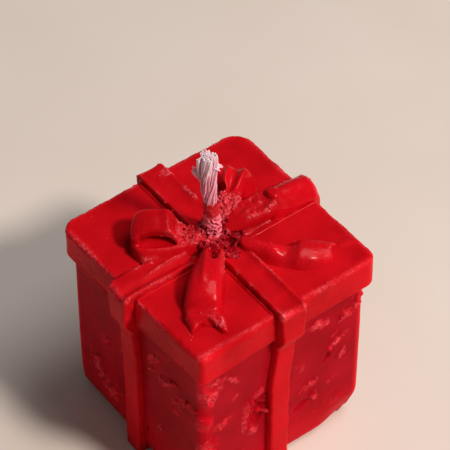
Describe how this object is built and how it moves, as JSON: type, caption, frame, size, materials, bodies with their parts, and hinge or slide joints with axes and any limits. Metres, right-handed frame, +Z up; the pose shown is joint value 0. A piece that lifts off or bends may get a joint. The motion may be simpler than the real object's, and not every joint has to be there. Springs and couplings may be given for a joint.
{
  "type": "gift box candle",
  "caption": "Square wax candle moulded as a lidded gift box, with a ribbon over the lid and down the walls, a bow and a cotton wick.",
  "frame": {"origin": "centre of the flat base, on the surface that the candle stands on", "axes": "+Z up along the candle; the ribbons lie along X and Y; +X is the arm under the pressed loop, and the long bow tail points between -X and -Y"},
  "size_m": [0.049, 0.049, 0.0709],
  "materials": {
    "wax": "deep red candle wax, satin to glossy, slightly translucent",
    "wick_wax": "red wax soaked into cotton, rough and pitted",
    "cotton": "braided cotton tinted pink by the wax"
  },
  "bodies": {
    "root": {"box_body": "wax", "lid": "wax", "ribbon_right": "wax", "ribbon_back": "wax", "ribbon_left": "wax", "ribbon_front": "wax", "bow_knot": "wax", "bow_loop_left": "wax", "bow_loop_back": "wax", "bow_loop_right": "wax", "bow_tail_front": "wax", "bow_tail_right": "wax", "wick_wax_coat": "wick_wax", "wick": "cotton"}
  },
  "joints": []
}
